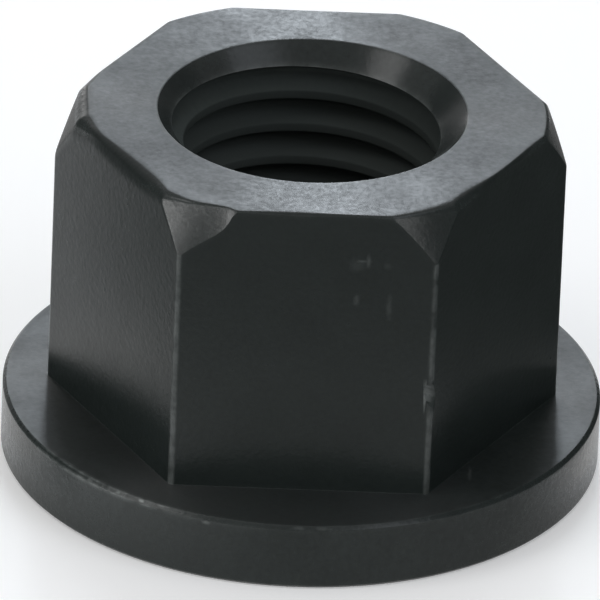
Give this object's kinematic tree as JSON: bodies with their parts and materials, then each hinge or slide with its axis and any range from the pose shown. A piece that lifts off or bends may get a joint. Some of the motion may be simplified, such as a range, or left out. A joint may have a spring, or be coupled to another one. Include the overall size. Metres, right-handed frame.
{
  "type": "serrated flange nut",
  "caption": "Tall hexagon nut on a flat round collar, with a through thread, countersunk both ends, and radial locking teeth in the bearing face.",
  "frame": {"origin": "middle of the bearing face, on the thread's axis, in the plane of the teeth's crests", "axes": "+Z along the thread's axis from the bearing face to the spanner end; a flat of the hexagon faces -Y and another +Y"},
  "size_m": [0.0326, 0.0326, 0.0205],
  "materials": {
    "steel": "black oxide, satin"
  },
  "bodies": {
    "root": {"flange_nut": "steel"}
  },
  "joints": []
}
